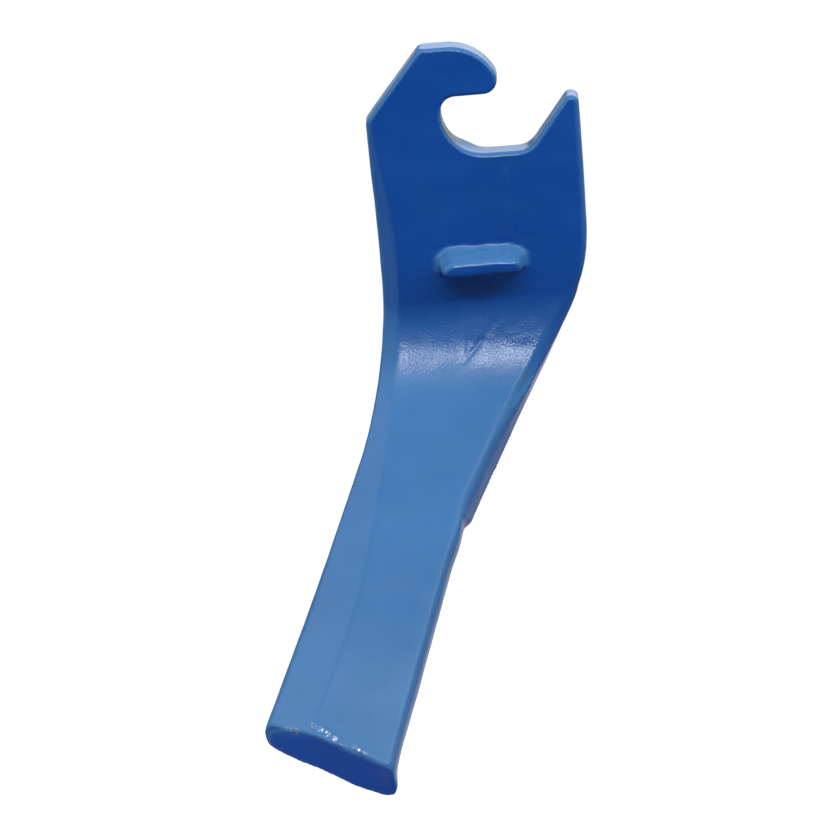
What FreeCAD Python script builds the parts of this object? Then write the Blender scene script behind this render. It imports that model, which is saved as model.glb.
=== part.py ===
# Power harrow knife tine: one forging in spring steel, in millimetres.
# +Z runs up the head, X runs across the plate and the front faces -Y.
# The origin is the centre of the pin seat in the hook, on the flat back of the head.
# Stations are measured down the middle of the thickness, from the origin to the tip.
import FreeCAD, Part
import os
from math import atan2, cos, pi, radians, sin, sqrt, tan

# Plate
HEAD_WIDTH = 100.0          # across the flat head, at its waist
SEAT_TO_LEADING = 54.4      # from the pin seat to the leading edge, on -X
THICKNESS = 18.0            # of the head plate
TIP_THICKNESS = 17.0        # of the blade at its end
CORNER_RADIUS = 2.2         # forged rounding of the long edges
BACK_STOCK = 0.2            # ground off the back of the head to make it flat

# Hook and horn around the pin seat
SEAT_RADIUS = 20.0          # arc that the retaining pin bears on
SEAT_FLAT = 15.3            # flat floor of the gullet beyond the seat
HORN_ROOT_RADIUS = 11.0     # between the floor and the horn
HORN_ANGLE = radians(52.4)  # inner side of the horn above the floor
HORN_TIP_RADIUS = 3.8
HORN_TIP_INSET = 3.7        # from the trailing edge to the middle of the tip
HORN_EXIT_ANGLE = radians(20.0)  # where the tip runs out into the trailing edge
MOUTH = 28.1                # from the floor of the gullet up to the hook's underside
THROAT_RADIUS = 6.5         # between the underside and the seat
HOOK_TIP_RADIUS = 7.2
HOOK_BACK_X = -15.5         # centre of the arc over the hook
HOOK_BACK_Z = 7.0
HOOK_BACK_RADIUS = 25.2
CROWN_FLAT = 12.8           # flat top, from that arc to the sloping shoulder
CROWN_RADIUS = 4.0
SHOULDER_ANGLE = radians(50.4)
HEAD_EDGE_RADIUS = 2.0      # rounding of the hook, gullet and horn edges

# Bend from the head into the blade
BEND_START = 87.5           # station where the blade starts to come forward
BEND_RADIUS = 85.0          # at the middle of the thickness
BEND_ANGLE = radians(38.0)

# Plan of the blade, as it would lie flat
FLARE_END = 55.0            # above this station the leading edge flares out
FLARE_ANGLE = radians(1.8)
LEADING_START = 75.4        # station where the leading edge turns out into the knife
LEADING_RADIUS = 286.0
LEADING_ANGLE = radians(21.9)
TRAILING_START = 51.0       # station where the trailing edge turns in
TRAILING_RADIUS = 114.4
TRAILING_ANGLE = radians(30.4)
TRAILING_EASE_START = 185.0  # station where the trailing edge turns back out
TRAILING_EASE_RADIUS = 80.0
TRAILING_EASE_ANGLE = radians(12.4)

EDGE_BREAK = 1.8            # forged corner where there is no bevel
BEVEL_RADIUS = 5.0          # where the knife bevel meets the front
HEAD_STEP = 26.0            # between the cross-sections of the head
BLADE_STEP = 15.0           # between those of the blade

# Knife bevel along the front of the leading edge
HEAD_BEVEL_WIDTH = 7.3
HEAD_BEVEL_DEPTH = 3.0
HEAD_BEVEL_START = 2.0      # station where the narrow bevel starts
HEAD_BEVEL_FULL = 60.0
KNIFE_START = 118.0         # station where it starts to widen into the knife
KNIFE_FULL = 262.0
KNIFE_WIDTH = 24.5
KNIFE_DEPTH = 7.0

# Bevel along the front of the trailing edge, through the bend
BACK_BEVEL_WIDTH = 6.0
BACK_BEVEL_DEPTH = 3.4
BACK_BEVEL_START = 70.0
BACK_BEVEL_FULL = 100.0
BACK_BEVEL_FADE = 140.0
BACK_BEVEL_END = 185.0

# Heavy flash left on the trailing edge, which ends in a step
FLASH_START = 132.0
FLASH_END = 202.0
FLASH_RUN_OUT = 3.0         # length of the step
FLASH_PROUD = 2.8
FLASH_START_HEIGHT = 11.0   # of its outer side
FLASH_END_HEIGHT = 14.0
FLASH_DRAFT = 1.5           # how much taller it is at its root
FLASH_SINK = 2.5            # how deep its root lies in the blade
FLASH_STEP_SINK = 0.6       # how deep the foot of the step lies in the blade
FLASH_STEPS = 2

# End of the blade
END_STATION = 322.8         # where the back of the end crosses END_X
END_X = -90.7
END_SKEW = radians(28.0)    # of the end across the plan
END_BEVEL = radians(32.0)   # how far the end face leans to the front
END_CORNER_RADIUS = 7.0     # of its leading corner, in plan
END_CORNER_OVERRUN = 0.5    # how far its arc reaches past the leading edge
END_EDGE_RADIUS = 0.8

# Stop lug on the front of the head
LUG_CENTRE_X = -6.1
LUG_CENTRE_STATION = 71.3
LUG_PROJECTION = 18.0
LUG_ROOT_WIDTH = 41.5
LUG_ROOT_HEIGHT = 11.3
LUG_TIP_WIDTH = 36.0
LUG_TIP_HEIGHT = 6.4
LUG_LEADING_CUT = 4.5       # width of its sloping upper corner, at the leading end
LUG_TRAILING_CUT = 7.5      # the same at the trailing end, where the lug meets the head
LUG_TIP_TRAILING_CUT = 2.5  # and at the lug's front
LUG_CUT_DROP = 3.3          # how far those corners slope down
LUG_TIP_RADIUS = 1.8
LUG_ROOT_RADIUS = 2.5
LUG_SINK = 2.0              # how deep its root lies in the head

# Stock beyond the outline, which is cut away
TOP_MARGIN = 6.0
END_MARGIN = 34.0
CUT_REACH = 600.0           # larger than the tine in every direction
TOUCH = 1e-4                # two things this close touch

LEADING_X = -SEAT_TO_LEADING
TRAILING_X = HEAD_WIDTH - SEAT_TO_LEADING
MIDDLE_Y = -THICKNESS / 2


def vector(x, y, z):
    return FreeCAD.Vector(x, y, z)


def smooth_rise(value, low, high):
    """0 below low, 1 above high, with a smooth S between them."""
    share = min(1.0, max(0.0, (value - low) / (high - low)))
    return share * share * (3.0 - 2.0 * share)


def bend_at(station):
    """Height, depth and slope of the middle of the thickness at a station."""
    angle = min(BEND_ANGLE, max(0.0, (station - BEND_START) / BEND_RADIUS))
    straight_above = min(station, BEND_START)
    straight_below = max(0.0, station - BEND_START - BEND_RADIUS * BEND_ANGLE)
    z = -straight_above - BEND_RADIUS * sin(angle) - straight_below * cos(angle)
    y = MIDDLE_Y - BEND_RADIUS * (1 - cos(angle)) - straight_below * sin(angle)
    return y, z, angle


def place(x, station, height):
    """A point at x across, a station down and a height in front of the middle."""
    y, z, angle = bend_at(station)
    return vector(x, y - height * cos(angle), z + height * sin(angle))


def arc_drop(run, radius, angle):
    """How far an edge swings sideways over a run: an arc, then its tangent."""
    run = max(0.0, run)
    on_arc = min(run, radius * sin(angle))
    return radius - sqrt(radius ** 2 - on_arc ** 2) + (run - on_arc) * tan(angle)


def leading_x(station):
    flare = max(0.0, FLARE_END - station) * tan(FLARE_ANGLE)
    return LEADING_X - flare - arc_drop(station - LEADING_START, LEADING_RADIUS, LEADING_ANGLE)


def trailing_x(station):
    turn_in = arc_drop(station - TRAILING_START, TRAILING_RADIUS, TRAILING_ANGLE)
    ease_length = TRAILING_EASE_RADIUS * TRAILING_EASE_ANGLE
    eased = min(1.0, max(0.0, (station - TRAILING_EASE_START) / ease_length))
    beyond = max(0.0, station - TRAILING_EASE_START - ease_length)
    final_slope = tan(TRAILING_ANGLE) - tan(TRAILING_ANGLE - TRAILING_EASE_ANGLE)
    turn_out = final_slope * (eased ** 2 * ease_length / 2 + beyond)
    return TRAILING_X - turn_in + turn_out


def thickness_at(station):
    share = smooth_rise(station, BEND_START, END_STATION)
    return THICKNESS + (TIP_THICKNESS - THICKNESS) * share


def rounded_wire(points, radii):
    """A closed wire through points, each corner an arc that its sides can hold."""
    count = len(points)
    starts = []
    ends = []
    middles = []
    for i, corner in enumerate(points):
        before = points[i - 1] - corner
        after = points[(i + 1) % count] - corner
        half = before.getAngle(after) / 2
        reach = min(radii[i] / tan(half), 0.45 * min(before.Length, after.Length))
        radius = reach * tan(half)
        towards_centre = before.normalize() + after.normalize()
        towards_centre.normalize()
        starts.append(corner + before * reach)
        ends.append(corner + after * reach)
        middles.append(corner + towards_centre * (radius / sin(half) - radius))
    edges = []
    for i in range(count):
        edges.append(Part.Arc(starts[i], middles[i], ends[i]).toShape())
        edges.append(Part.LineSegment(ends[i], starts[(i + 1) % count]).toShape())
    return Part.Wire(edges)


def section_at(station):
    """Cross-section of the forging: flat back, knife bevel in front, softened corners."""
    left = leading_x(station)
    right = trailing_x(station)
    front = thickness_at(station) / 2
    back = -front - BACK_STOCK
    narrow = smooth_rise(station, HEAD_BEVEL_START, HEAD_BEVEL_FULL)
    knife = smooth_rise(station, KNIFE_START, KNIFE_FULL)
    bevel_width = EDGE_BREAK + (HEAD_BEVEL_WIDTH - EDGE_BREAK) * narrow
    bevel_depth = EDGE_BREAK + (HEAD_BEVEL_DEPTH - EDGE_BREAK) * narrow
    bevel_width += (KNIFE_WIDTH - HEAD_BEVEL_WIDTH) * knife
    bevel_depth += (KNIFE_DEPTH - HEAD_BEVEL_DEPTH) * knife
    bend = smooth_rise(station, BACK_BEVEL_START, BACK_BEVEL_FULL)
    bend -= smooth_rise(station, BACK_BEVEL_FADE, BACK_BEVEL_END)
    back_width = EDGE_BREAK + (BACK_BEVEL_WIDTH - EDGE_BREAK) * bend
    back_depth = EDGE_BREAK + (BACK_BEVEL_DEPTH - EDGE_BREAK) * bend
    corners = [
        (left, back, CORNER_RADIUS),
        (left, front - bevel_depth, CORNER_RADIUS),
        (left + bevel_width, front, BEVEL_RADIUS),
        (right - back_width, front, CORNER_RADIUS),
        (right, front - back_depth, CORNER_RADIUS),
        (right, back, CORNER_RADIUS),
    ]
    points = [place(x, station, height) for x, height, radius in corners]
    return rounded_wire(points, [radius for x, height, radius in corners])


def loft_between(first, last, step):
    """A solid through cross-sections at even stations."""
    count = max(1, round((last - first) / step))
    stations = [first + (last - first) * i / count for i in range(count + 1)]
    return Part.makeLoft([section_at(station) for station in stations], True)


def half_space(corner, normal):
    """A large block that fills the side of a plane that the normal points to."""
    block = Part.makeBox(CUT_REACH, CUT_REACH, CUT_REACH)
    block.translate(vector(-CUT_REACH / 2, -CUT_REACH / 2, 0))
    turn = FreeCAD.Rotation(vector(0, 0, 1), normal)
    block.Placement = FreeCAD.Placement(corner, turn).multiply(block.Placement)
    return block


def around(centre, radius, angle):
    """The point at an angle on a circle in the plane of the head."""
    return centre + vector(cos(angle), 0, sin(angle)) * radius


def arc_between(centre, radius, start, end):
    points = [around(centre, radius, angle) for angle in (start, (start + end) / 2, end)]
    return Part.Arc(*points).toShape()


def join(edges):
    """A closed wire of the given edges, with straight lines across the gaps between them."""
    whole = []
    for i, edge in enumerate(edges):
        whole.append(edge)
        here = edge.lastVertex(True).Point
        onward = edges[(i + 1) % len(edges)].firstVertex(True).Point
        if here.distanceToPoint(onward) > 1e-6:
            whole.append(Part.LineSegment(here, onward).toShape())
    return Part.Wire(whole)


def make_head_outline():
    """Wire around the hook, the gullet and the horn, and clear of the head elsewhere."""
    far = CUT_REACH / 2
    origin = vector(0, 0, 0)
    floor_z = -SEAT_RADIUS
    # The floor turns up an arc into the horn's inner side, and over its rounded tip.
    root = vector(SEAT_FLAT, 0, floor_z + HORN_ROOT_RADIUS)
    side = HORN_ANGLE
    root_end = around(root, HORN_ROOT_RADIUS, side - pi / 2)
    tip_x = TRAILING_X - HORN_TIP_INSET
    reach = (tip_x - HORN_TIP_RADIUS * sin(side) - root_end.x) / cos(side)
    side_end = around(root_end, reach, side)
    horn_tip = around(side_end, HORN_TIP_RADIUS, side - pi / 2)
    # The throat arc touches the hook's underside and the seat arc.
    under_z = floor_z + MOUTH
    throat_z = under_z - THROAT_RADIUS
    throat_reach = SEAT_RADIUS - THROAT_RADIUS
    throat = vector(-sqrt(throat_reach ** 2 - throat_z ** 2), 0, throat_z)
    seat_top = atan2(throat.z, throat.x)
    # The hook's tip touches its underside and the arc over its back.
    hook_back = vector(HOOK_BACK_X, 0, HOOK_BACK_Z)
    tip_z = under_z + HOOK_TIP_RADIUS
    tip_reach = HOOK_BACK_RADIUS - HOOK_TIP_RADIUS
    hook_tip = vector(HOOK_BACK_X + sqrt(tip_reach ** 2 - (tip_z - HOOK_BACK_Z) ** 2), 0, tip_z)
    back_start = atan2(hook_tip.z - HOOK_BACK_Z, hook_tip.x - HOOK_BACK_X)
    # The flat crown turns down the sloping shoulder, which leaves past the leading edge.
    slope = pi / 2 + SHOULDER_ANGLE
    crown_half = CROWN_RADIUS * tan(SHOULDER_ANGLE / 2)
    crown_x = HOOK_BACK_X - CROWN_FLAT + crown_half
    crown = vector(crown_x, 0, HOOK_BACK_Z + HOOK_BACK_RADIUS - CROWN_RADIUS)
    shoulder_start = around(crown, CROWN_RADIUS, slope)
    drop = (shoulder_start.x - LEADING_X + TOP_MARGIN * 2) * tan(SHOULDER_ANGLE)
    shoulder_end = vector(LEADING_X - TOP_MARGIN * 2, 0, shoulder_start.z - drop)
    # Past the trailing edge the horn's tip runs on in a straight line.
    exit_start = around(horn_tip, HORN_TIP_RADIUS, HORN_EXIT_ANGLE)
    exit_end = around(exit_start, TOP_MARGIN * 4, HORN_EXIT_ANGLE - pi / 2)
    return join([
        Part.LineSegment(vector(-far, 0, -far), vector(far, 0, -far)).toShape(),
        Part.LineSegment(vector(far, 0, exit_end.z), exit_end).toShape(),
        arc_between(horn_tip, HORN_TIP_RADIUS, HORN_EXIT_ANGLE, side + pi / 2),
        arc_between(root, HORN_ROOT_RADIUS, side - pi / 2, -pi / 2),
        arc_between(origin, SEAT_RADIUS, 3 * pi / 2, seat_top),
        arc_between(throat, THROAT_RADIUS, seat_top, pi / 2),
        arc_between(hook_tip, HOOK_TIP_RADIUS, -pi / 2, back_start),
        arc_between(hook_back, HOOK_BACK_RADIUS, back_start, pi / 2),
        arc_between(crown, CROWN_RADIUS, pi / 2, slope),
        Part.LineSegment(shoulder_end, vector(-far, 0, shoulder_end.z)).toShape(),
    ])


def make_head():
    """The flat head: a rounded slab of the hook's outline, inside the bar's own section."""
    top = -(HOOK_BACK_Z + HOOK_BACK_RADIUS + TOP_MARGIN)
    bar = loft_between(top, BEND_START, HEAD_STEP)
    front = -THICKNESS - BACK_STOCK
    slab = Part.Face(make_head_outline()).extrude(vector(0, BACK_STOCK - front, 0))
    slab.translate(vector(0, front, 0))
    rims = [edge for edge in slab.Edges if edge.BoundBox.YLength < TOUCH]
    return bar.common(slab.makeFillet(HEAD_EDGE_RADIUS, rims))


def end_direction(station):
    """Unit vectors at a station: down the blade, and out of its front face."""
    angle = bend_at(station)[2]
    return vector(0, -sin(angle), -cos(angle)), vector(0, -cos(angle), sin(angle))


def make_end_cut():
    """What lies past the sloping end face and around its rounded leading corner."""
    down, out = end_direction(END_STATION)
    across = vector(1, 0, 0)
    start = place(END_X, END_STATION, -thickness_at(END_STATION) / 2)
    along_end = across * cos(END_SKEW) + down * sin(END_SKEW)
    into_end = across * sin(END_SKEW) - down * cos(END_SKEW)
    up_leading = across * sin(LEADING_ANGLE) - down * cos(LEADING_ANGLE)
    into_leading = across * cos(LEADING_ANGLE) + down * sin(LEADING_ANGLE)
    # The rounding touches the line of the end, and crosses that of the leading edge.
    radius = END_CORNER_RADIUS
    turn = END_SKEW - LEADING_ANGLE
    offset = (leading_x(END_STATION) - END_X) * cos(LEADING_ANGLE)
    reach = (offset + radius - END_CORNER_OVERRUN - radius * sin(turn)) / cos(turn)
    touch = start + along_end * reach
    centre = touch + into_end * radius
    inward = into_end + into_leading
    inward.normalize()
    leading_end = centre - into_leading * radius
    leading_top = leading_end + up_leading * END_MARGIN
    far = CUT_REACH / 2
    corners = [
        leading_end,
        leading_top,
        leading_top - across * far,
        leading_top + (down - across) * far,
        touch + along_end * far,
        touch,
    ]
    edges = [Part.LineSegment(a, b).toShape() for a, b in zip(corners, corners[1:])]
    edges.append(Part.Arc(touch, centre - inward * radius, leading_end).toShape())
    lean = out - down * tan(END_BEVEL)
    plan = Part.Face(Part.Wire(edges))
    plan.translate(lean * (-far / 2))
    return plan.extrude(lean * far)


def flash_wire(station, proud, height):
    """Outline across the flash: its outer side stands proud of the trailing edge."""
    edge = trailing_x(station)
    root_height = height + FLASH_DRAFT
    corners = [
        (edge - FLASH_SINK, root_height / 2),
        (edge + proud, height / 2),
        (edge + proud, -height / 2),
        (edge - FLASH_SINK, -root_height / 2),
    ]
    points = [place(x, station, offset) for x, offset in corners]
    return Part.makePolygon(points + points[:1])


def make_flash():
    """The flash on the trailing edge, which swells to its full size and ends in a step."""
    wires = []
    for i in range(FLASH_STEPS + 1):
        share = i / FLASH_STEPS
        station = FLASH_START + (FLASH_END - FLASH_START) * share
        height = FLASH_START_HEIGHT + (FLASH_END_HEIGHT - FLASH_START_HEIGHT) * share
        swell = 1 - (1 - share) ** 2
        wires.append(flash_wire(station, FLASH_PROUD * swell, height))
    wires.append(flash_wire(FLASH_END + FLASH_RUN_OUT, -FLASH_STEP_SINK, FLASH_END_HEIGHT))
    return Part.makeLoft(wires, True, True)


def lug_wire(width, height, trailing_cut, y):
    """Outline of the lug at a depth y, with both upper corners cut away."""
    left = LUG_CENTRE_X - width / 2
    right = LUG_CENTRE_X + width / 2
    low = -LUG_CENTRE_STATION - height / 2
    high = -LUG_CENTRE_STATION + height / 2
    trailing_drop = LUG_CUT_DROP * trailing_cut / LUG_TRAILING_CUT
    corners = [
        (left, low),
        (left, high - LUG_CUT_DROP),
        (left + LUG_LEADING_CUT, high),
        (right - trailing_cut, high),
        (right, high - trailing_drop),
        (right, low),
    ]
    points = [vector(x, y, z) for x, z in corners]
    return Part.makePolygon(points + points[:1])


def make_lug():
    """The stop lug, drafted towards its front and rounded all over."""
    root_y = -THICKNESS
    tip_y = root_y - LUG_PROJECTION
    sunk = 1 + LUG_SINK / LUG_PROJECTION
    inner = lug_wire(
        LUG_TIP_WIDTH + (LUG_ROOT_WIDTH - LUG_TIP_WIDTH) * sunk,
        LUG_TIP_HEIGHT + (LUG_ROOT_HEIGHT - LUG_TIP_HEIGHT) * sunk,
        LUG_TIP_TRAILING_CUT + (LUG_TRAILING_CUT - LUG_TIP_TRAILING_CUT) * sunk,
        root_y + LUG_SINK,
    )
    outer = lug_wire(LUG_TIP_WIDTH, LUG_TIP_HEIGHT, LUG_TIP_TRAILING_CUT, tip_y)
    lug = Part.makeLoft([inner, outer], True, True)
    outside = [edge for edge in lug.Edges if edge.BoundBox.YMin < root_y - LUG_SINK]
    return lug.makeFillet(LUG_TIP_RADIUS, outside)


def middle_of(edge):
    return edge.valueAt((edge.FirstParameter + edge.LastParameter) / 2)


def lies_on(point, shape):
    """True when the point is on the skin of the shape."""
    spot = Part.Vertex(point)
    return min(face.distToShape(spot)[0] for face in shape.Faces) < TOUCH


def cut_end(blade):
    """Cuts the blade off along its end, and softens the edges of the cut."""
    end_cut = make_end_cut()
    cut = blade.cut(end_cut)
    edges = []
    for edge in cut.Edges:
        middle = middle_of(edge)
        if lies_on(middle, end_cut) and lies_on(middle, blade):
            edges.append(edge)
    return cut.makeFillet(END_EDGE_RADIUS, edges)


def add_lug(tine):
    """Sets the lug on the front of the head, with a fillet around its root."""
    lug = make_lug()
    whole = tine.fuse(lug)
    root = []
    for edge in whole.Edges:
        middle = middle_of(edge)
        if abs(middle.y + THICKNESS) < TOUCH and lies_on(middle, lug):
            root.append(edge)
    return whole.makeFillet(LUG_ROOT_RADIUS, root)


def build():
    blade = cut_end(loft_between(BEND_START, END_STATION + END_MARGIN, BLADE_STEP))
    tine = make_head().fuse(blade)
    tine = tine.cut(half_space(vector(0, 0, 0), vector(0, 1, 0)))
    return add_lug(tine).fuse(make_flash())


os.makedirs("parts", exist_ok=True)
tine = build()
print("valid:", tine.isValid(), "solids:", len(tine.Solids), "volume:", round(tine.Volume), "mm3")
tine.exportStep("parts/tine.step")
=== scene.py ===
"""Looks of the power harrow knife tine: the forged skin, its blue paint, the light and the camera."""
from math import cos, pi, radians, sin

import bpy
import numpy as np
from mathutils import Matrix, Vector, noise


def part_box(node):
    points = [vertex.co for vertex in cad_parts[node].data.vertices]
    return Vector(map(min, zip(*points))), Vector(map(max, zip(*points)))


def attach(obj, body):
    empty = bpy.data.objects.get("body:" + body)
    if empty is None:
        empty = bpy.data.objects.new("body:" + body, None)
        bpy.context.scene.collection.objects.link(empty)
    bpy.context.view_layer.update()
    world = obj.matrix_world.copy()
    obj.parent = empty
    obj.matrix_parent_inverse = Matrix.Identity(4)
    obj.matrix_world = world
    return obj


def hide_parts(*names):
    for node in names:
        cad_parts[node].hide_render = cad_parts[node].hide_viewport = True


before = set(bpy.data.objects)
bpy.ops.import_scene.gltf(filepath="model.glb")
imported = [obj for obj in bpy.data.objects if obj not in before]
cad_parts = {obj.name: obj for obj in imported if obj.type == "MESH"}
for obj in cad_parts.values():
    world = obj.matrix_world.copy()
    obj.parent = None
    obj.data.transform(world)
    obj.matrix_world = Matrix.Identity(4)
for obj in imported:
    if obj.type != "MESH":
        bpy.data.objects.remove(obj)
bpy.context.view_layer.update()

MM = 0.001

# The bar's own path, as the frame has it: a flat head, one bend, then a straight blade
THICKNESS = 18.0
BEND_START = 87.5
BEND_RADIUS = 85.0
BEND_ANGLE = radians(38.0)

# Skin
VOXEL = 1.0                  # edge length of the skin's mesh
WELD_GAP = 0.001             # points of the solid's mesh that are nearer than this become one
SMOOTHING = 0.5              # share of the way to its neighbours' mean that a point moves in a pass
GIVE_BACK = 0.98             # share of that move which settling takes back
SETTLE_ROUNDS = 3            # passes that take out the marks of remeshing

# The trimmed edge and its flash: stations, distances from the edge (inward is negative), and heights
FLASH_RISE = (136.0, 165.0)  # stations between which the edge starts to lean, and ceases to
FLASH_FALL = (200.0, 206.0)
FLASH_STRIP = (-9.0, -4.0)   # where its strip starts, seen from the edge, and where it leans
FLASH_LIP = (-5.0, -1.0)
FLASH_FOOT = -6.0            # height at which the lean starts, and the height over which it grows
FLASH_HEIGHT = 14.0
FLASH_LEAN = 2.8             # how far back it leans at most
FLASH_TOP = (-3.0, 1.0)      # heights above which it merges with the front
FLASH_ROUNDS = 24

# The blade's long sides, which get rounder towards its end
SIDE_TURN = (0.15, 0.4)      # turn to a side from which a face counts as one
BLADE_RISE = (200.0, 230.0)
BLADE_ROUNDS = 36

# The sloping end of the blade, as the frame has it
END_STATION = 322.8
END_X = -90.7
END_SKEW = radians(28.0)
END_BEVEL = radians(32.0)
END_HALF = 8.5               # half the thickness there
END_EDGE = (-3.5, -1.5)      # distances from its plane where its edges are rounded
END_ROUNDS = 12
END_FACE = (-2.5, -0.5)      # those where its face starts
DISH_DEPTH = 0.9             # how hollow that face is

# Unevenness of the forging: size across, and height
WAVES = ((34.0, 0.22), (11.0, 0.06))
OFF_BACK = (0.5, 4.0)        # depths behind which the back stays flat
LUG_WAVES = (6.0, 0.4)
LUG_MIDDLE = (-6.0, -27.0, -71.5)
LUG_REACH = (24.0, 9.0, 8.0)
LUG_FADE = (0.8, 1.1)        # shares of that reach between which its waves fade
NOISE_GAIN = 2.0             # brings the noise to about -1 to 1

# Where the forging is rounder than its solid: middle, radius and smoothing passes
WORN = (
    ((-124.0, -124.0, -262.0), 7.5, 16),
    ((-64.0, -139.0, -295.0), 5.0, 16),
    ((-27.0, -26.0, -71.0), 6.0, 8),
    ((14.5, -26.0, -71.0), 6.0, 6),
    ((42.0, -9.0, 5.0), 5.0, 8),
    ((-28.5, -9.0, 31.5), 6.0, 14),
    ((-56.0, -9.0, -1.4), 6.0, 12),
)

# Where it swells out or falls in: middle, pull and radius
PULLS = (
    ((-66.0, -138.6, -292.0), (4.2, 0.0, 0.0), 7.0),
    ((-70.0, -138.5, -294.0), (0.0, 0.0, -1.3), 4.5),
    ((-107.0, -121.0, -273.0), (0.0, -0.4, -1.3), 14.0),
    ((-83.0, -132.0, -288.0), (0.0, -0.4, -1.3), 13.0),
    ((-122.0, -122.0, -263.0), (-1.0, 0.0, -0.3), 9.0),
    ((-26.5, -70.0, -195.0), (0.9, 0.0, 0.0), 9.0),
    ((-10.0, 0.0, -18.5), (0.7, 0.0, 1.3), 6.5),
    ((-25.5, -24.0, -70.0), (-1.0, -0.5, 0.6), 3.0),
)

# The corner cut round as seen from the front: middle (x, z) and radius
ROUND_MIDDLE = (-64.3, -290.2)
ROUND_RADIUS = 3.5

# Fine lines on the front, as (x, station) along each: height, half width and path
FRONT_TURN = (0.2, 0.7)      # turn to the front from which a face has them
LINES = (
    (0.2, 0.9, ((7.9, 28.0), (8.4, 45.0), (8.2, 62.5))),
    (-0.14, 0.9, ((-15.4, 85.0), (-16.6, 104.0), (-17.6, 119.0))),
    (-0.07, 1.2, ((-2.0, 104.0), (-8.5, 112.5))),
    (-0.26, 1.0, ((-8.5, 112.5), (-12.5, 117.5), (-18.4, 124.3))),
    (0.06, 1.4, ((2.0, 104.0), (-4.0, 112.0))),
    (0.45, 1.2, ((-114.0, 302.0), (-106.0, 303.2))),
    (0.4, 1.2, ((-98.5, 301.4), (-93.0, 304.6), (-89.0, 308.3))),
    (0.45, 1.2, ((-104.0, 304.3), (-94.0, 308.5), (-87.5, 312.5))),
    (0.5, 1.6, ((-79.5, 314.5), (-76.5, 316.3))),
)

# Paint, in linear colour
DEEP_BLUE = (0.0, 0.05, 0.272)
# Painted light: a paler blue on the faces that look up or to a side, where the lamps would light them
# more
PAINTED_LIGHT_BLUE = (0.043, 0.147, 0.345)
SIDE_SHARE = 0.5             # how much a face's turn to a side counts beside its turn upward
PAINTED_LIGHT_TURN = (-0.1, 0.62)         # turns between which the pale blue comes in: painted light on the faces that look up or to a side
# Painted light: a brighter blue on the faces low down that look down, standing in for light that the
# lamps don't give the end face
PAINTED_FILL_BLUE = (0.0, 0.066, 0.4)
PAINTED_FILL_TURN = (-0.02, -0.15)      # turns downward, and levels in metres, between which this one does: painted light on the end face
PAINTED_FILL_LEVEL = (-0.2, -0.24)
# Painted light: a still paler blue lower down, on the faces that get the painted light above
PAINTED_LOWER_LIGHT = (0.2, 0.36, 0.55)
PAINTED_LOWER_LIGHT_LEVEL = (-0.17, -0.29)  # levels in metres between which this paler blue comes in
PAINTED_LOWER_LIGHT_AMOUNT = 0.1
TONE_SIZE = 40.0             # size across of the uneven tone, and the values that it runs between
TONE = (0.95, 1.05)
GLOSS = 0.085
POLISH_SIZE = 12.0           # the same for the roughness
POLISH = (0.16, 0.24)
PRESSED = (0.3, 0.65)        # turns to the front or back between a sheared side and a pressed face
SIDE_ROUGHNESS = 0.12        # added on the sides
PEEL_SIZE = 1.0              # orange peel, across
PEEL_DEPTH = 0.034

# Marks on the paint: middle, full radius, and radius where the mark has gone
RUST = (0.12, 0.09, 0.085)
RUST_SPOTS = (
    ((-53.0, -20.4, -110.9), 0.0, 1.4),
    ((-55.0, -20.4, -110.5), 0.0, 1.1),
    ((10.9, -28.0, -127.6), 0.0, 1.4),
    ((9.2, -27.4, -126.6), 0.0, 1.2),
    ((7.6, -27.0, -126.2), 0.0, 0.9),
)
# Painted shade: a near-black put in the gullet's recess, where shade falls
PAINTED_SHADE_COLOUR = (0.006, 0.02, 0.03)
PAINTED_SHADE_AMOUNT = 0.85
PAINTED_SHADE_TURN = (-0.9, -0.5)    # turns away from the front between which the painted shade comes in
PAINTED_SHADE_SPOTS = (((-18.5, -9.0, -9.0), 5.0, 14.0),)
# Where paint has run thick, under a glossy coat
RUNS = (
    ((-112.1, -127.8, -261.3), 0.8, 2.0),
    ((-109.8, -129.0, -261.5), 0.8, 2.0),
    ((-107.0, -130.3, -261.8), 1.0, 2.2),
    ((-98.8, -131.0, -259.2), 0.8, 2.0),
    ((-95.7, -132.4, -260.8), 0.8, 2.0),
    ((-92.5, -133.7, -262.6), 0.8, 2.0),
    ((-88.9, -135.4, -264.7), 0.8, 2.0),
    ((-79.5, -139.0, -269.3), 1.2, 3.0),
)
RUN_ROUGHNESS = 0.2
RUN_SIZE = 2.4               # their ripple, across, and how much deeper it is than the peel
RUN_DEPTH = 7.0

NOISE_SPAN = (0.3, 0.7)      # the values that most of a noise texture lies between
MIX_AMOUNT = 0               # places of a colour mix's sockets
MIX_UNDER = 6
MIX_OVER = 7
MIX_RESULT = 2

# Camera, fitted to the photograph's 830 pixel frame
FRAME_PIXELS = 830
PIXEL_MM = 0.474             # size of a pixel at the head
CAMERA_DISTANCE = 2000.0
CAMERA_ELEVATION = radians(15.5)
CAMERA_AZIMUTH = radians(1.5)
CAMERA_ROLL = radians(4.5)
SENSOR_MM = 36.0
SEAT_PIXEL = (483.2, 108.7)  # where the middle of the pin seat lies in the frame

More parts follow.
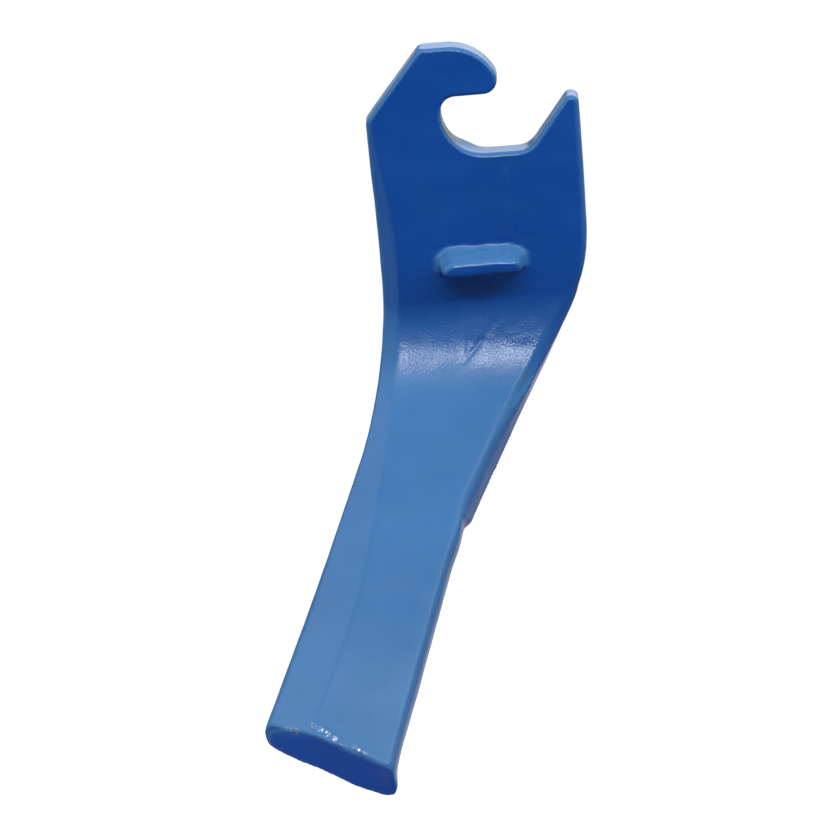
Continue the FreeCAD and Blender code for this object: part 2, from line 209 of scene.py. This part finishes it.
# Soft boxes, in metres and watts: name, azimuth from the front (positive to the right), elevation,
# width, height and power
LAMPS = (
    ("strip", 4.0, 28.8, 0.38, 0.4, 28.0),
    ("wide", 8.0, 44.0, 2.0, 0.3, 19.0),
    ("left", -78.0, 46.0, 1.1, 1.1, 14.0),
    ("right", 72.0, 34.0, 0.9, 0.9, 15.0),
    ("top", 0.0, 85.0, 1.0, 1.0, 5.0),
    ("back", 165.0, 30.0, 1.4, 1.4, 14.0),
    ("fill", -35.0, -25.0, 1.0, 1.0, 4.0),
)
GLOSS_ONLY = "strip"         # it makes the bright band across the bend, and no other light
LAMP_DISTANCE = 1.6
LAMP_AIM = (-0.02, -0.02, -0.12)

# Surroundings, in metres
AMBIENT = 0.06
BACKDROP_COLOUR = (0.85, 0.85, 0.85)
BACKDROP_ROUGHNESS = 0.9
BACKDROP_SIDES = 64
BACKDROP_RADIUS = 11.0
FLOOR_LEVEL = -1.8
WALL_TOP = 0.2
WHITE = (1.0, 1.0, 1.0, 1.0)


def smooth_rise(value, low, high):
    """0 below low, 1 above high, with a smooth S between them."""
    share = np.clip((value - low) / (high - low), 0.0, 1.0)
    return share * share * (3.0 - 2.0 * share)


def bell(distance, width):
    """1 in the middle, falling off smoothly over a width."""
    return np.exp(-(distance / width) ** 2)


class Skin:
    """The tine's surface as arrays in millimetres, with the bar's own coordinates."""

    def __init__(self, mesh):
        count = len(mesh.vertices)
        flat = np.empty(count * 3, np.float32)
        mesh.vertices.foreach_get("co", flat)
        self.points = flat.reshape(count, 3).astype(float) / MM
        pairs = np.empty(len(mesh.edges) * 2, np.int32)
        mesh.edges.foreach_get("vertices", pairs)
        self.first, self.second = pairs.reshape(-1, 2).T
        self.neighbours = np.bincount(pairs, minlength=count)
        self.mesh = mesh

    @property
    def across(self):
        return self.points[:, 0]

    def write(self):
        self.mesh.vertices.foreach_set("co", (self.points * MM).astype(np.float32).ravel())
        self.mesh.update()

    def normals(self):
        self.write()
        flat = np.empty(len(self.points) * 3, np.float32)
        self.mesh.vertex_normals.foreach_get("vector", flat)
        return flat.reshape(-1, 3).astype(float)

    def to_neighbours(self):
        """The way from each point to the mean of its neighbours."""
        count = len(self.points)
        total = np.empty_like(self.points)
        for axis in range(3):
            total[:, axis] = np.bincount(self.first, self.points[self.second, axis], count)
            total[:, axis] += np.bincount(self.second, self.points[self.first, axis], count)
        return total / self.neighbours[:, None] - self.points

    def settle(self):
        """Moves each point towards its neighbours, and back a little less, so that forms stay."""
        for step in (SMOOTHING, -SMOOTHING * GIVE_BACK) * SETTLE_ROUNDS:
            self.points += self.to_neighbours() * step

    def soften(self, weight, rounds):
        """Moves each point towards its neighbours, by a weight, which rounds edges off."""
        for _ in range(rounds):
            self.points += self.to_neighbours() * (weight * SMOOTHING)[:, None]

    def distance(self, middle):
        return np.linalg.norm(self.points - np.array(middle), axis=1)

    def waves(self, size):
        """Noise between about -1 and 1, with features of a size."""
        return np.array([noise.noise(Vector(point) / size) for point in self.points]) * NOISE_GAIN

    def develop(self):
        """Finds each point's station down the bar, its height over the bar's middle, and its front."""
        y, z = self.points.T[1:]
        middle = -THICKNESS / 2
        depth = y - (middle - BEND_RADIUS)
        drop = -BEND_START - z
        angle = np.clip(np.arctan2(drop, depth), 0.0, BEND_ANGLE)
        along = np.sin(angle) * (-depth) + np.cos(angle) * drop
        radius = np.cos(angle) * depth + np.sin(angle) * drop
        on_head = drop < 0.0
        self.station = np.where(on_head, -z, BEND_START + BEND_RADIUS * angle + along)
        self.height = np.where(on_head, middle - y, BEND_RADIUS - radius)
        self.front = np.stack([np.zeros_like(angle), -np.cos(angle), np.sin(angle)], 1)

    def from_path(self, path):
        """Distance of each point from a line through (x, station) points on the developed front."""
        nearest = np.full(len(self.points), np.inf)
        for (x, station), (next_x, next_station) in zip(path, path[1:]):
            run = np.array([next_x - x, next_station - station])
            share = ((self.across - x) * run[0] + (self.station - station) * run[1]) / (run @ run)
            share = np.clip(share, 0.0, 1.0)
            away = np.hypot(self.across - x - share * run[0], self.station - station - share * run[1])
            nearest = np.minimum(nearest, away)
        return nearest


def skin_of(node, name):
    """A new piece whose mesh is an even skin around a CAD node."""
    source = bpy.data.objects.new(name + "_source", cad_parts[node].data.copy())
    bpy.context.scene.collection.objects.link(source)
    weld = source.modifiers.new("weld", "WELD")
    weld.merge_threshold = WELD_GAP * MM
    remesh = source.modifiers.new("remesh", "REMESH")
    remesh.mode = "VOXEL"
    remesh.voxel_size = VOXEL * MM
    ready = source.evaluated_get(bpy.context.evaluated_depsgraph_get())
    mesh = bpy.data.meshes.new_from_object(ready)
    bpy.data.objects.remove(source)
    mesh.name = name
    mesh.materials.clear()
    piece = bpy.data.objects.new(name, mesh)
    bpy.context.scene.collection.objects.link(piece)
    mesh.shade_smooth()
    return piece


def wear_corners(skin):
    """Swellings, the corner cut round and the worn corners."""
    for middle, pull, radius in PULLS:
        skin.points += bell(skin.distance(middle), radius)[:, None] * np.array(pull)
    x, level = ROUND_MIDDLE
    out = skin.across - x
    down = level - skin.points[:, 2]
    far = np.hypot(out, down)
    cut = (out > 0.0) & (down > 0.0) & (far > ROUND_RADIUS)
    skin.points[cut, 0] = x + (out * ROUND_RADIUS / far)[cut]
    skin.points[cut, 2] = level - (down * ROUND_RADIUS / far)[cut]
    for middle, radius, rounds in WORN:
        skin.soften(bell(skin.distance(middle), radius), rounds)


def lean_flash(skin):
    """The trimmed edge leans back as far as its flash runs, with no groove beside it."""
    slices = np.maximum(skin.station, 0.0).astype(int)
    edge = np.full(slices.max() + 1, -np.inf)
    np.maximum.at(edge, slices, skin.across)
    from_edge = skin.across - edge[slices]
    trimmed = smooth_rise(skin.station, *FLASH_RISE) * (1.0 - smooth_rise(skin.station, *FLASH_FALL))
    trimmed *= smooth_rise(from_edge, *FLASH_STRIP)
    lean = np.clip((skin.height - FLASH_FOOT) / FLASH_HEIGHT, 0.0, 1.0)
    lean *= smooth_rise(from_edge, *FLASH_LIP)
    skin.points[:, 0] -= FLASH_LEAN * trimmed * lean
    skin.soften(trimmed * smooth_rise(skin.height, *FLASH_TOP), FLASH_ROUNDS)


def round_blade(skin):
    side = np.abs(skin.normals()[:, 0])
    skin.soften(smooth_rise(side, *SIDE_TURN) * smooth_rise(skin.station, *BLADE_RISE), BLADE_ROUNDS)


def past_end(skin):
    """How far each point lies beyond the plane of the blade's end, negative before it."""
    past = skin.station - END_STATION - (skin.across - END_X) * np.tan(END_SKEW)
    return past + (skin.height + END_HALF) * np.tan(END_BEVEL)


def hollow_end(skin, past, normals):
    """The end face is hollow from its back edge to its front edge."""
    share = np.clip(skin.height / END_HALF, -1.0, 1.0)
    hollow = DISH_DEPTH * smooth_rise(past, *END_FACE) * (1.0 - share ** 2)
    skin.points -= hollow[:, None] * normals


def roughen(skin, normals):
    """Waves, which stay off the back that the holder bears on, and fine lines on the front."""
    free = smooth_rise(-skin.points[:, 1], *OFF_BACK)
    swell = sum(skin.waves(size) * rise for size, rise in WAVES) * free
    size, rise = LUG_WAVES
    from_lug = np.abs((skin.points - np.array(LUG_MIDDLE)) / np.array(LUG_REACH)).max(1)
    swell += skin.waves(size) * rise * (1.0 - smooth_rise(from_lug, *LUG_FADE))
    on_front = smooth_rise((normals * skin.front).sum(1), *FRONT_TURN)
    for rise, width, path in LINES:
        swell += rise * on_front * bell(skin.from_path(path), width)
    skin.points += swell[:, None] * normals


def sculpt(skin):
    """What the hammer and the trimming left: rounder corners, swellings, waves and lines."""
    skin.settle()
    wear_corners(skin)
    skin.develop()
    lean_flash(skin)
    round_blade(skin)
    past = past_end(skin)
    skin.soften(smooth_rise(past, *END_EDGE), END_ROUNDS)
    normals = skin.normals()
    hollow_end(skin, past, normals)
    roughen(skin, normals)
    skin.points = np.clip(skin.points, *(np.array(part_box("tine")) / MM))
    skin.write()


def make_tine(paint):
    piece = skin_of("tine", "forged_tine")
    sculpt(Skin(piece.data))
    piece.data.materials.append(paint)
    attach(piece, "root")
    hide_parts("tine")


def link(tree, source, target):
    tree.links.new(source, target)


def add_node(tree, kind, **values):
    """A new node, with values for its properties or, failing that, its inputs."""
    node = tree.nodes.new("ShaderNode" + kind)
    for name, value in values.items():
        if hasattr(node, name):
            setattr(node, name, value)
        else:
            node.inputs[name.replace("_", " ")].default_value = value
    return node


def split(tree, vector):
    """The sockets X, Y and Z of a vector."""
    node = add_node(tree, "SeparateXYZ")
    link(tree, vector, node.inputs[0])
    return node.outputs


def magnitude(tree, value):
    node = add_node(tree, "Math", operation="ABSOLUTE")
    link(tree, value, node.inputs[0])
    return node.outputs[0]


def combine(tree, operation, first, second):
    node = add_node(tree, "Math", operation=operation)
    link(tree, first, node.inputs[0])
    link(tree, second, node.inputs[1])
    return node.outputs[0]


def largest(tree, values):
    total = values[0]
    for value in values[1:]:
        total = combine(tree, "MAXIMUM", total, value)
    return total


def rise_of(tree, value, start, full, height=1.0, shape="SMOOTHSTEP"):
    """0 at start, and the height from full onward, with a smooth S or a line between them."""
    share = add_node(tree, "MapRange", interpolation_type=shape,
                     From_Min=start, From_Max=full, To_Min=0.0, To_Max=height)
    link(tree, value, share.inputs["Value"])
    return share.outputs[0]


def noise_between(tree, place, size, low, high, detail=2.0):
    """Noise with features of a size, spread between two values."""
    least, most = NOISE_SPAN
    pattern = add_node(tree, "TexNoise", Scale=1.0 / (size * MM), Detail=detail)
    link(tree, place, pattern.inputs["Vector"])
    spread = add_node(tree, "MapRange", From_Min=least, From_Max=most, To_Min=low, To_Max=high)
    link(tree, pattern.outputs["Fac"], spread.inputs["Value"])
    return spread.outputs[0]


def spots(tree, place, marks):
    """1 on each of the marks, falling to 0 around them."""
    shares = []
    for middle, full, gone in marks:
        away = add_node(tree, "VectorMath", operation="DISTANCE")
        link(tree, place, away.inputs[0])
        away.inputs[1].default_value = [value * MM for value in middle]
        shares.append(rise_of(tree, away.outputs["Value"], gone * MM, full * MM))
    return largest(tree, shares)


def colour_over(tree, under, amount, paint):
    """A colour, as a socket or a value, with an amount of another paint over it."""
    over = add_node(tree, "Mix", data_type="RGBA")
    link(tree, amount, over.inputs[MIX_AMOUNT])
    if isinstance(under, tuple):
        over.inputs[MIX_UNDER].default_value = (*under, 1.0)
    else:
        link(tree, under, over.inputs[MIX_UNDER])
    over.inputs[MIX_OVER].default_value = (*paint, 1.0)
    return over.outputs[MIX_RESULT]


def paint_colour(tree, place, normal):
    """Deep blue with painted light: a paler blue on the faces that look up or to a side, paler still
    lower down, and a brighter blue on the faces low down that look down; an uneven tone, under rust and
    painted shade in the gullet.
    """
    level = split(tree, place)["Z"]
    # Painted light: the faces low down that look down get a brighter blue.
    painted_fill = combine(tree, "MULTIPLY", rise_of(tree, normal["Z"], *PAINTED_FILL_TURN),
                       rise_of(tree, level, *PAINTED_FILL_LEVEL))
    colour = colour_over(tree, DEEP_BLUE, painted_fill, PAINTED_FILL_BLUE)
    # Painted light: the faces that turn up or to a side get the paler blue.
    turn = add_node(tree, "Math", operation="MULTIPLY_ADD")
    link(tree, magnitude(tree, normal["X"]), turn.inputs[0])
    turn.inputs[1].default_value = SIDE_SHARE
    link(tree, normal["Z"], turn.inputs[2])
    painted_light = rise_of(tree, turn.outputs[0], *PAINTED_LIGHT_TURN)
    colour = colour_over(tree, colour, painted_light, PAINTED_LIGHT_BLUE)
    # Painted light: lower down, the faces that look up get paler still.
    lower_down = rise_of(tree, level, *PAINTED_LOWER_LIGHT_LEVEL, PAINTED_LOWER_LIGHT_AMOUNT)
    colour = colour_over(tree, colour, combine(tree, "MULTIPLY", lower_down, painted_light), PAINTED_LOWER_LIGHT)
    tone = add_node(tree, "HueSaturation")
    link(tree, colour, tone.inputs["Color"])
    link(tree, noise_between(tree, place, TONE_SIZE, *TONE, detail=3.0), tone.inputs["Value"])
    colour = colour_over(tree, tone.outputs[0], spots(tree, place, RUST_SPOTS), RUST)
    # Painted shade: a near-black on the inner walls of the gullet, which look away from the front, where
    # shade falls in the recess.
    inner = rise_of(tree, normal["Y"], *PAINTED_SHADE_TURN, PAINTED_SHADE_AMOUNT, "LINEAR")
    return colour_over(tree, colour, combine(tree, "MULTIPLY", spots(tree, place, PAINTED_SHADE_SPOTS), inner), PAINTED_SHADE_COLOUR)


def paint_relief(tree, place, pressed, runs):
    """Orange peel on the faces that the dies pressed, and ripples where the paint has run."""
    peel = noise_between(tree, place, PEEL_SIZE, 0.0, 1.0, detail=1.0)
    ripple = noise_between(tree, place, RUN_SIZE, 0.0, RUN_DEPTH, detail=1.0)
    height = combine(tree, "ADD", combine(tree, "MULTIPLY", peel, pressed),
                     combine(tree, "MULTIPLY", runs, ripple))
    relief = add_node(tree, "Bump", Strength=1.0, Distance=PEEL_DEPTH * MM)
    link(tree, height, relief.inputs["Height"])
    return relief.outputs[0]


def make_paint():
    """Glossy blue enamel over a forged surface, duller on the cut and sheared sides."""
    material = bpy.data.materials.new("blue_paint")
    material.use_nodes = True
    tree = material.node_tree
    shader = tree.nodes["Principled BSDF"]
    place = add_node(tree, "TexCoord").outputs["Object"]
    normal = split(tree, add_node(tree, "NewGeometry").outputs["Normal"])
    link(tree, paint_colour(tree, place, normal), shader.inputs["Base Color"])
    outward = magnitude(tree, normal["Y"])
    side_from, side_gone = PRESSED
    dull = rise_of(tree, outward, side_gone, side_from, SIDE_ROUGHNESS)
    polish = noise_between(tree, place, POLISH_SIZE, *POLISH)
    link(tree, combine(tree, "ADD", polish, dull), shader.inputs["Roughness"])
    runs = spots(tree, place, RUNS)
    link(tree, runs, shader.inputs["Coat Weight"])
    shader.inputs["Coat Roughness"].default_value = RUN_ROUGHNESS
    shader.inputs["Specular IOR Level"].default_value = GLOSS
    relief = paint_relief(tree, place, rise_of(tree, outward, *PRESSED), runs)
    link(tree, relief, shader.inputs["Normal"])
    link(tree, relief, shader.inputs["Coat Normal"])
    return material


def direction(azimuth, elevation):
    """The way out from the tine at an azimuth from the front and an elevation."""
    return Vector((sin(azimuth) * cos(elevation), -cos(azimuth) * cos(elevation), sin(elevation)))


def make_camera():
    """A camera that puts the middle of the pin seat at its pixel of the photograph."""
    back = direction(CAMERA_AZIMUTH, CAMERA_ELEVATION)
    level = (-back).cross(Vector((0, 0, 1))).normalized()
    upright = level.cross(-back)
    right = level * cos(CAMERA_ROLL) - upright * sin(CAMERA_ROLL)
    up = level * sin(CAMERA_ROLL) + upright * cos(CAMERA_ROLL)
    middle = FRAME_PIXELS / 2
    across = (SEAT_PIXEL[0] - middle) * PIXEL_MM
    down = (SEAT_PIXEL[1] - middle) * PIXEL_MM
    seat = Vector((0, -THICKNESS / 2, 0))
    place = seat - right * across + up * down + back * CAMERA_DISTANCE
    data = bpy.data.cameras.new("camera")
    data.sensor_width = SENSOR_MM
    data.lens = SENSOR_MM * CAMERA_DISTANCE / (PIXEL_MM * FRAME_PIXELS)
    camera = bpy.data.objects.new("camera", data)
    camera.matrix_world = Matrix.Translation(place * MM) @ Matrix((right, up, back)).transposed().to_4x4()
    bpy.context.scene.collection.objects.link(camera)
    bpy.context.scene.camera = camera


def make_lamp(name, azimuth, elevation, width, height, power):
    """A soft box that looks at the tine."""
    data = bpy.data.lights.new(name, "AREA")
    data.shape = "RECTANGLE"
    data.size = width
    data.size_y = height
    data.energy = power
    lamp = bpy.data.objects.new(name, data)
    away = direction(radians(azimuth), radians(elevation))
    lamp.location = Vector(LAMP_AIM) + away * LAMP_DISTANCE
    lamp.rotation_mode = "QUATERNION"
    lamp.rotation_quaternion = away.to_track_quat("Z", "Y")
    lamp.visible_diffuse = name != GLOSS_ONLY
    bpy.context.scene.collection.objects.link(lamp)


def make_world():
    """A dim, even light from all round."""
    world = bpy.data.worlds.new("world")
    world.use_nodes = True
    background = world.node_tree.nodes["Background"]
    background.inputs["Color"].default_value = WHITE
    background.inputs["Strength"].default_value = AMBIENT
    bpy.context.scene.world = world


def make_pale_material():
    """Matt and pale, and white where the camera or a reflection sees it."""
    material = bpy.data.materials.new("pale_backdrop")
    material.use_nodes = True
    tree = material.node_tree
    shader = tree.nodes["Principled BSDF"]
    shader.inputs["Base Color"].default_value = (*BACKDROP_COLOUR, 1.0)
    shader.inputs["Roughness"].default_value = BACKDROP_ROUGHNESS
    shader.inputs["Specular IOR Level"].default_value = 0.0
    shader.inputs["Emission Color"].default_value = WHITE
    rays = add_node(tree, "LightPath").outputs
    seen = largest(tree, [rays["Is Camera Ray"], rays["Is Glossy Ray"], rays["Is Transmission Ray"]])
    link(tree, seen, shader.inputs["Emission Strength"])
    return material


def make_backdrop(material):
    """A round floor well below the tine, which hangs as its holder would hold it, and a wall."""
    ring = []
    for step in range(BACKDROP_SIDES):
        turn = 2 * pi * step / BACKDROP_SIDES
        ring.append((BACKDROP_RADIUS * cos(turn), BACKDROP_RADIUS * sin(turn)))
    floor = [(x, y, FLOOR_LEVEL) for x, y in ring]
    rim = [(x, y, WALL_TOP) for x, y in ring]
    faces = [tuple(range(BACKDROP_SIDES))]
    for step in range(BACKDROP_SIDES):
        onward = (step + 1) % BACKDROP_SIDES
        faces.append((step, onward, onward + BACKDROP_SIDES, step + BACKDROP_SIDES))
    mesh = bpy.data.meshes.new("backdrop")
    mesh.from_pydata(floor + rim, [], faces)
    mesh.materials.append(material)
    backdrop = bpy.data.objects.new("backdrop", mesh)
    bpy.context.scene.collection.objects.link(backdrop)


bpy.context.scene.view_settings.view_transform = "Standard"
make_tine(make_paint())
make_camera()
make_world()
make_backdrop(make_pale_material())
for lamp in LAMPS:
    make_lamp(*lamp)
